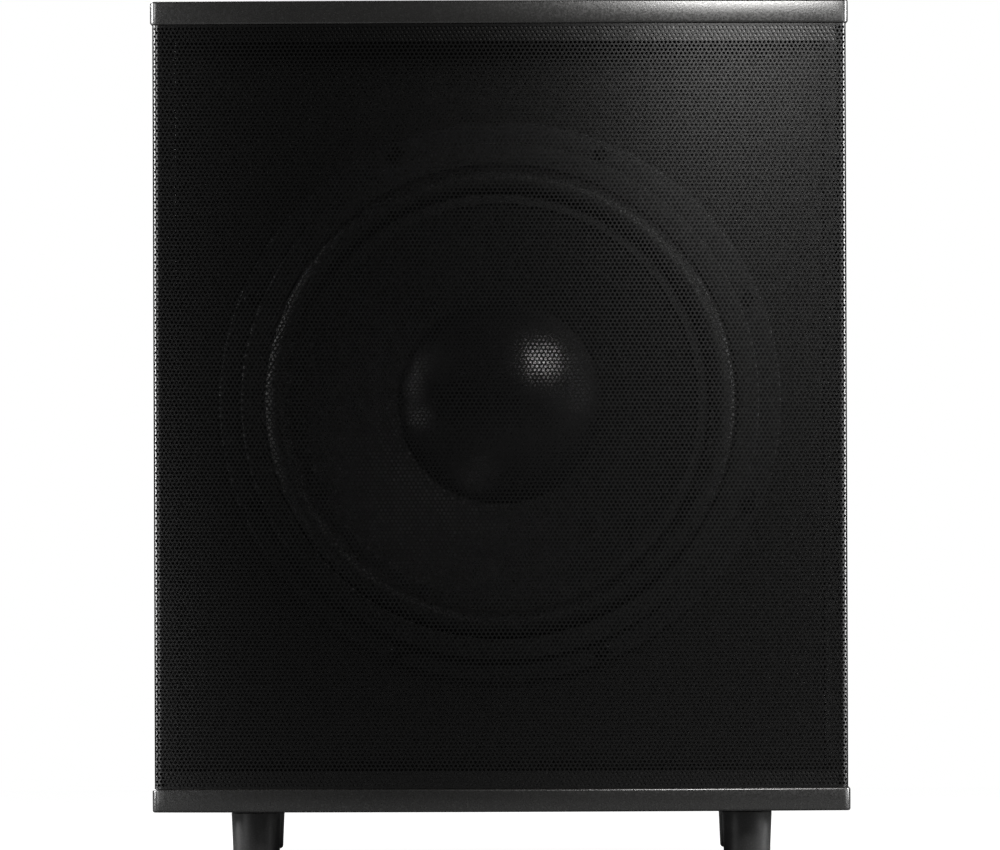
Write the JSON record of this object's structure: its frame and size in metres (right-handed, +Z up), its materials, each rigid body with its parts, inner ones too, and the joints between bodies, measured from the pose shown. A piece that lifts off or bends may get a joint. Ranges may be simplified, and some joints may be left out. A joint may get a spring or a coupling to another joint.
{
  "type": "subwoofer",
  "caption": "Sealed active subwoofer: wooden cabinet with bowed perforated grille, large cone driver, rear plate amplifier and round rubber feet.",
  "frame": {"origin": "on the floor, under the middle of the cabinet's plan box", "axes": "+Z up, the grille faces -Y, +X to the right of someone facing the grille"},
  "size_m": [0.482, 0.5, 0.59],
  "materials": {
    "panel_paint": "black textured paint on fibreboard",
    "raw_board": "raw fibreboard",
    "wadding": "soft polyester wadding",
    "grille_steel": "black powder coat on perforated steel",
    "cast_frame": "black cast frame",
    "black_rubber": "matt rubber",
    "cone_pulp": "black coated pulp",
    "cap_gloss": "smooth coated dome",
    "former_film": "amber film",
    "copper_wire": "lacquered copper wire",
    "spider_cloth": "resin-dipped cloth",
    "zinc_steel": "zinc-plated steel",
    "ferrite": "ground ferrite",
    "black_steel": "black oxide",
    "black_aluminium": "black anodised",
    "black_plastic": "moulded, fine texture",
    "circuit_board": "solder mask",
    "nickel_plate": "nickel-plated",
    "rocker_plastic": "gloss moulding",
    "led_lens": "tinted clear lens",
    "foot_rubber": "smooth moulded rubber"
  },
  "bodies": {
    "cabinet": {"top_panel": "panel_paint", "bottom_panel": "panel_paint", "left_side_panel": "panel_paint", "right_side_panel": "panel_paint", "front_baffle": "panel_paint", "rear_panel": "panel_paint", "window_brace": "raw_board", "wadding_left": "wadding", "wadding_right": "wadding", "grille_sheet": "grille_steel", "upper_grille_rail": "panel_paint", "lower_grille_rail": "panel_paint", "basket": "cast_frame", "woofer_gasket": "black_rubber", "surround": "black_rubber", "spider": "spider_cloth", "front_pole_plate": "zinc_steel", "magnet_ring": "ferrite", "back_pole_plate": "zinc_steel", "terminal_block": "black_plastic", "woofer_bolt_1": "black_steel", "woofer_bolt_2": "black_steel", "woofer_bolt_3": "black_steel", "woofer_bolt_4": "black_steel", "woofer_bolt_5": "black_steel", "woofer_bolt_6": "black_steel", "woofer_bolt_7": "black_steel", "woofer_bolt_8": "black_steel", "woofer_lead": "black_plastic", "rear_chamber": "black_plastic", "amp_plate": "black_aluminium", "heatsink": "black_aluminium", "amp_board": "circuit_board", "transformer": "copper_wire", "transformer_clamp": "zinc_steel", "level_pot": "zinc_steel", "crossover_pot": "zinc_steel", "phase_switch": "zinc_steel", "line_input_jacks": "nickel_plate", "mains_inlet": "black_plastic", "rocker_frame": "black_plastic", "status_led": "led_lens", "foot_front_left": "foot_rubber", "foot_front_right": "foot_rubber", "foot_rear_left": "foot_rubber", "foot_rear_right": "foot_rubber", "foot_screw_front_left": "zinc_steel", "foot_screw_front_right": "zinc_steel", "foot_screw_rear_left": "zinc_steel", "foot_screw_rear_right": "zinc_steel"},
    "diaphragm": {"cone": "cone_pulp", "dust_cap": "cap_gloss", "coil_former": "former_film", "coil_winding": "copper_wire"},
    "level_control": {"level_knob": "black_plastic", "level_shaft": "zinc_steel"},
    "crossover_control": {"crossover_knob": "black_plastic", "crossover_shaft": "zinc_steel"},
    "phase_tab": {"phase_slider": "black_plastic"},
    "rocker": {"power_rocker": "rocker_plastic"}
  },
  "joints": [
    {"name": "cone_travel", "type": "slide", "parent": "cabinet", "child": "diaphragm", "axis": [0, -1, 0], "range_m": [-0.008, 0.008], "stiffness_N_per_m": 5000, "deforming": ["surround", "spider"]},
    {"name": "level_turn", "type": "hinge", "parent": "cabinet", "child": "level_control", "pos_m": [0.04, 0.234, 0.315], "axis": [0, 1, 0], "range_deg": [-150, 150]},
    {"name": "crossover_turn", "type": "hinge", "parent": "cabinet", "child": "crossover_control", "pos_m": [0.098, 0.234, 0.315], "axis": [0, 1, 0], "range_deg": [-150, 150]},
    {"name": "phase_slide", "type": "slide", "parent": "cabinet", "child": "phase_tab", "axis": [1, 0, 0], "range_m": [0, 0.004]},
    {"name": "power_rock", "type": "hinge", "parent": "cabinet", "child": "rocker", "pos_m": [0.04, 0.2351, 0.158], "axis": [1, 0, 0], "range_deg": [0, 14]}
  ]
}
